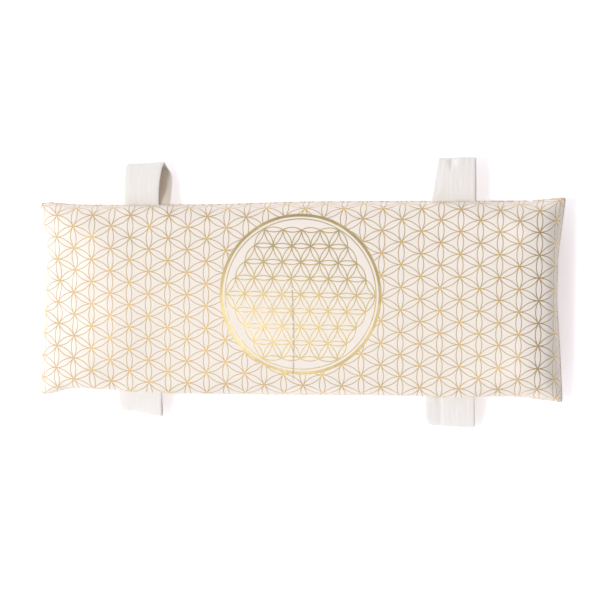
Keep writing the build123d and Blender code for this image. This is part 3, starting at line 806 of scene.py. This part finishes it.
def make_back(name, node, columns, sign, points, material):
    panel = Panel()
    number = {}
    printed = lay_out(points[BACK])
    for i in range(ROWS):
        for j in columns:
            drop = np.array([0, 0, SEAM_OPEN if IS_SEAM[i, j] else 0])
            number[i, j] = panel.add(points[BACK[i, j]] - drop, (U[i, j], V[i, j], 0), printed[i, j])
    for i in range(ROWS - 1):
        for j in columns[:-1]:
            in_slit = abs(ACROSS[j] + ACROSS[j + 1] - 2 * ZIP_U) < 2 * SLIT_HALF_WIDTH
            if in_slit and 2 * SLIT_LOW < ALONG[i] + ALONG[i + 1] < 2 * SLIT_HIGH:
                continue
            panel.faces.append([number[i + 1, j], number[i + 1, j + 1], number[i, j + 1], number[i, j]])
    used = sorted({k for face in panel.faces for k in face})
    renumber = {k: n for n, k in enumerate(used)}
    panel.points = [panel.points[k] for k in used]
    panel.flat = [panel.flat[k] for k in used]
    panel.printed = [panel.printed[k] for k in used]
    panel.faces = [[renumber[k] for k in face] for face in panel.faces]
    panel.turn_in([back_step(0.1, 0.0, 0.02, 0.12, sign), back_step(0.7, -0.1, 0.15, 0.62, sign),
                   back_step(4.6, -0.1, 4.2, 0.66, sign)])
    obj = add_object(name, panel.points, panel.faces, material, flat=panel.printed)
    finish_cloth(obj, COVER_FABRIC * 0.9)
    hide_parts(node)
    return obj


# ---------------------------------------------------------------------------------------------
# Inside the cover: bag, seeds and threads
# ---------------------------------------------------------------------------------------------
CLEAR_OF_ZIP = 10.9  # how high the bag's underside is lifted over the zip


def inner_points(points, shrink, thin):
    """The cover's shape, smaller all round, and lifted clear of the zip"""
    middle = np.zeros_like(points)
    middle[FRONT] = middle[BACK] = (points[FRONT] + points[BACK]) / 2
    inner = middle + (points - middle) * thin
    inner[:, 0] *= 1 - shrink / HALF_LENGTH
    inner[:, 1] *= 1 - shrink / HALF_WIDTH
    clear = CLEAR_OF_ZIP * smooth(inner[:, 0], 82, 93)
    inner[:, 2] = np.maximum(inner[:, 2], clear)
    ridge = inner[FRONT][..., 2]
    inner[FRONT, 2] = np.maximum(ridge, inner[BACK][..., 2] + np.where(IS_SEAM, 0, 0.5))
    return inner


def make_bag(points, material):
    inner = inner_points(points, 6.0, 0.86)
    for name, node, grid, flip in (("bag_front", "inner_bag_front_panel", FRONT, False),
                                   ("bag_back", "inner_bag_back_panel", BACK, True)):
        order = {int(k): n for n, k in enumerate(grid.ravel())}
        faces = [[order[k] for k in face] for face in cells_of(grid, flip)]
        flat = np.stack([U.ravel(), V.ravel(), 0 * U.ravel()], -1)
        obj = add_object(name, inner[grid.ravel()], faces, material, flat=flat)
        thick = obj.modifiers.new("thickness", "SOLIDIFY")
        thick.thickness, thick.offset = 0.3 * MM, -1
        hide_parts(node)
    return inner


def make_seeds(points, material):
    inner = inner_points(points, 9.0, 0.80)
    obj = add_object("seeds", inner, cells_of(FRONT, False) + cells_of(BACK, True), material)
    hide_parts("seed_fill")


def tube(path, radius, sides=6):
    """(points, faces) of a round tube along a path that ends where it starts"""
    path = np.asarray(path, float)
    ahead = np.roll(path, -1, 0) - np.roll(path, 1, 0)
    ahead /= np.linalg.norm(ahead, axis=1)[:, None]
    side = np.cross(ahead, (0, 0, 1.0))
    side /= np.linalg.norm(side, axis=1)[:, None]
    up = np.cross(side, ahead)
    points, faces = [], []
    for k in range(len(path)):
        for n in range(sides):
            angle = 2 * math.pi * n / sides
            points.append(path[k] + radius * (math.cos(angle) * side[k] + math.sin(angle) * up[k]))
    for k in range(len(path)):
        after = (k + 1) % len(path)
        for n in range(sides):
            beside = (n + 1) % sides
            faces.append([k * sides + n, k * sides + beside, after * sides + beside, after * sides + n])
    return points, faces


def seam_ring(points):
    """The seam's points in order"""
    ring = [FRONT[0, j] for j in range(COLUMNS - 1)] + [FRONT[i, -1] for i in range(ROWS - 1)]
    ring += [FRONT[-1, j] for j in range(COLUMNS - 1, 0, -1)] + [FRONT[i, 0] for i in range(ROWS - 1, 0, -1)]
    return points[ring]


def make_stitches(name, node, ring, inset, lift, radius, material):
    """A needle line over a seam and a bobbin line under it, dipping into each other at every stitch"""
    points, faces = [], []
    for sign in (1, -1):
        path = ring.copy()
        path[:, 0] *= 1 - inset / HALF_LENGTH
        path[:, 1] *= 1 - inset / HALF_WIDTH
        dip = np.where(np.arange(len(path)) % 2, 0.25, 1.0)
        path[:, 2] += sign * lift * dip
        some, loops = tube(path, radius)
        faces += [[k + len(points) for k in face] for face in loops]
        points += list(some)
    obj = add_object(name, points, faces, material)
    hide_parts(node)


# ---------------------------------------------------------------------------------------------
# The four loops of folded tape
# ---------------------------------------------------------------------------------------------
TAIL_LENGTH = 6.6
TAPE_HALF_THICK = 0.42
PATH_HALF_HEIGHT = 3.55  # of LOOP_PATH
PATH_POINTS = 96
LOOP_PATH = ((-TAIL_LENGTH, 0.46), (-3.0, 0.46), (-0.4, 0.5), (1.6, 1.2), (4.2, 2.5), (7.5, 3.4), (11.0, 3.55),
             (14.6, 3.55), (17.0, 3.05), (18.3, 1.4), (18.45, 0.0))


def rounded_path(points, rounds=4):
    """The corner-cut curve of a path, which keeps its ends"""
    for _ in range(rounds):
        cut = [points[0]]
        for a, b in zip(points, points[1:]):
            cut.append(tuple(0.75 * p + 0.25 * q for p, q in zip(a, b)))
            cut.append(tuple(0.25 * p + 0.75 * q for p, q in zip(a, b)))
        points = cut + [points[-1]]
    return np.array(points)


def even_path(points, count):
    length = np.r_[0, np.cumsum(np.linalg.norm(np.diff(points, axis=0), axis=1))]
    at = np.linspace(0, length[-1], count)
    return np.stack([np.interp(at, length, points[:, k]) for k in range(2)], -1), at


def tape_section(half_width):
    """The tape's cross-section: a strip folded lengthwise, with soft edges"""
    across = np.linspace(-1, 1, 15)
    thick = TAPE_HALF_THICK
    over = [(w * (half_width - 0.5), thick) for w in across]
    right = [(half_width - 0.12, 0.62 * thick), (half_width, 0.0), (half_width - 0.12, -0.62 * thick)]
    under = [(w, -h) for w, h in over[::-1]]
    left = [(-w, h) for w, h in right[::-1]]
    return over + right + under + left


def make_loop(name, side, middle, half_width, length, high, bend, shape, seam, material, seed):
    """A band of tape from the seam, round and back. bend is how many degrees it points down at its root
    and at its end, and shape(width place, share of the length, layer) gives a point's
    (sideways, outward, upward) move."""
    half = list(LOOP_PATH) + [(r, -h) for r, h in LOOP_PATH[-2::-1]]
    path, run = even_path(rounded_path(half), PATH_POINTS)
    ahead = np.gradient(path, axis=0)
    ahead /= np.linalg.norm(ahead, axis=1)[:, None]
    normal = np.stack([-ahead[:, 1], ahead[:, 0]], -1)
    stretch, squeeze = length / LOOP_PATH[-1][0], high / PATH_HALF_HEIGHT
    fine = np.linspace(0, length, 200)
    turn = np.radians(np.interp(fine, (0, length), bend))
    step = fine[1]
    out_run, down_run = np.cumsum(np.cos(turn)) * step, np.cumsum(np.sin(turn)) * step
    section = tape_section(half_width)
    waves = np.random.default_rng(seed).uniform(-1, 1, (5, 4))
    points, flat, faces = [], [], []
    for k, (r, h) in enumerate(path):
        reach = np.clip(r / LOOP_PATH[-1][0], 0, 1)
        layer = np.clip((len(path) / 2 - k) / 8, -1, 1)
        free = smooth(np.array(r), 0.0, 3.0)
        for w, t in section:
            share = w / half_width
            ripple = sum(a * math.sin(3.1 * b * share + 5 * c * run[k] / run[-1] * math.pi + 6 * d)
                         for a, b, c, d in waves) * 0.13 * reach
            sideways, outward, upward = shape(share, reach, layer)
            x = middle + w + sideways
            seam_y, seam_z = np.interp(x, seam[:, 0], seam[:, 1]), np.interp(x, seam[:, 0], seam[:, 2])
            flat_h = h * (1 + free * (squeeze - 1)) + normal[k, 1] * (t + ripple)
            flat_r = r * (stretch if r > 0 else 1) + normal[k, 0] * (t + ripple)
            if flat_r > 0:
                lean = np.interp(flat_r, fine, turn) * free
                out = np.interp(flat_r, fine, out_run) + max(0, flat_r - length) * math.cos(lean)
                down = np.interp(flat_r, fine, down_run) + max(0, flat_r - length) * math.sin(lean)
                out, up = out + flat_h * math.sin(lean), flat_h * math.cos(lean) - down
            else:
                out, up = flat_r, flat_h
            points.append((x, seam_y + side * (out + outward), max(seam_z + up + upward, 0.12)))
            # Points on a tape's inner face get the mark that the tape material uses for painted shade
            flat.append((w + (SHADED_INNER_FACE if t < -0.3 and abs(share) < 0.9 else 0), run[k], 0))
    size = len(section)
    for k in range(len(path) - 1):
        for n in range(size):
            m = (n + 1) % size
            face = [k * size + n, k * size + m, (k + 1) * size + m, (k + 1) * size + n]
            faces.append(face if side < 0 else face[::-1])
    first, last = list(range(size)), [(len(path) - 1) * size + n for n in range(size)]
    faces += [first[::-1], last] if side < 0 else [first, last[::-1]]
    obj = add_object(f"tape_{name}", points, faces, material, body=None, flat=flat)
    rounded = obj.modifiers.new("smooth", "SUBSURF")
    rounded.levels = rounded.render_levels = 1
    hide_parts(f"loop_{name}", f"loop_tail_{name}")
    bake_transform(obj)
    return obj


def open_side(share, reach, layer):
    """Upper left: the lower layer slants out to the right and shows its inner face"""
    under = (1 - layer) / 2
    sideways = 4.6 * under * (1 - reach**5) + (1.4 + 0.6 * share) * reach**2
    return sideways, 0.3 * share * reach, -1.2 * under * max(0.0, share) * (1 - reach)


def dented_end(share, reach, layer):
    """Upper right: narrower to its end, with a small pressed fold in the middle of it"""
    taper = max(0.0, -share) * 3.0 * reach
    deep = max(0.0, reach - 0.62) / 0.38
    fold = max(0.0, 1 - abs(share + 0.1) / (0.38 * deep + 1e-6))
    under = (1 - layer) / 2
    return taper + 0.3 * under * (1 - reach), -0.3 * fold * deep, -1.7 * fold * max(0.0, layer) * deep


def slanted_end(share, reach, layer):
    """Lower left: its end is longer on the right"""
    return -0.9 * reach, 1.6 * share * reach, 0.3 * share * reach


def creased_side(share, reach, layer):
    """Lower right: a lengthwise crease, and its left corner folded in"""
    crease = math.exp(-(((share + 0.44) / 0.07) ** 2)) * 0.6
    corner = max(0.0, -share - 0.74) / 0.26 * max(0.0, reach - 0.6) / 0.4
    return 1.3 * corner, -0.8 * corner + 0.5 * share * reach, -crease * max(0.0, layer) + 0.2 * corner


def make_loops(cover, material):
    for name, side, *values in (("upper_left", 1, -70.4, 7.9, 18.4, 3.5, (4, 24), open_side, 11),
                                ("upper_right", 1, 67.4, 9.7, 18.4, 2.7, (2, 14), dented_end, 12),
                                ("lower_left", -1, -71.4, 9.7, 13.0, 1.6, (22, 56), slanted_end, 13),
                                ("lower_right", -1, 66.2, 10.8, 15.6, 2.3, (18, 44), creased_side, 14)):
        seam = cover[FRONT[-1 if side > 0 else 0]]
        middle, half_width, length, high, bend, shape, seed = values
        make_loop(name, side, middle, half_width, length, high, bend, shape, seam, material, seed)


# ---------------------------------------------------------------------------------------------
# Putting it together
# ---------------------------------------------------------------------------------------------
def dress(node, material):
    """Gives a CAD node a material"""
    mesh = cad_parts[node].data
    mesh.materials.clear()
    mesh.materials.append(material)


make_camera()
make_stage()

thread = thread_material("thread", THREAD_COLOUR, THREAD_SHADE)
filled = pat_flat(fill_cover())
cover = settle(filled, outline_of(filled))
make_front(cover, cover_material("print_with_medallion", True))
print_plain = cover_material("print", False)
zip_column = int(np.argmin(abs(ACROSS - ZIP_U)))
make_back("cover_back", "cover_back_panel", list(range(zip_column + 1)), -1, cover, print_plain)
make_back("cover_end_strip", "cover_back_end_strip", list(range(zip_column, COLUMNS)), 1, cover, print_plain)
calico = woven_material("calico", CALICO_COLOUR, CALICO_SHADE, 0.5)
bag = make_bag(cover, calico)
make_seeds(cover, seed_material())
make_stitches("cover_stitches", "cover_seam_thread", seam_ring(cover), 2.2, 0.95, 0.16, thread)
make_stitches("bag_stitches", "inner_bag_seam_thread", seam_ring(bag), 0.2, 0.45, 0.14, thread)
make_loops(cover, woven_material("tape_cotton", TAPE_COLOUR, TAPE_SHADE, 0.5, 0.03, TAPE_INNER_PAINTED_SHADE))

for node in ("zip_tape_inner", "zip_tape_outer"):
    dress(node, solid_woven_material(f"{node}_cloth", ZIP_TAPE_COLOUR, ZIP_TAPE_SHADE, 0.55))
coil, brass = coil_material(), metal_material()
for node in ("zip_teeth_inner", "zip_teeth_outer"):
    dress(node, coil)
for node in ("zip_top_stops", "zip_bottom_stop", "zip_slider", "zip_puller"):
    dress(node, brass)
dress("zip_stitching", thread)
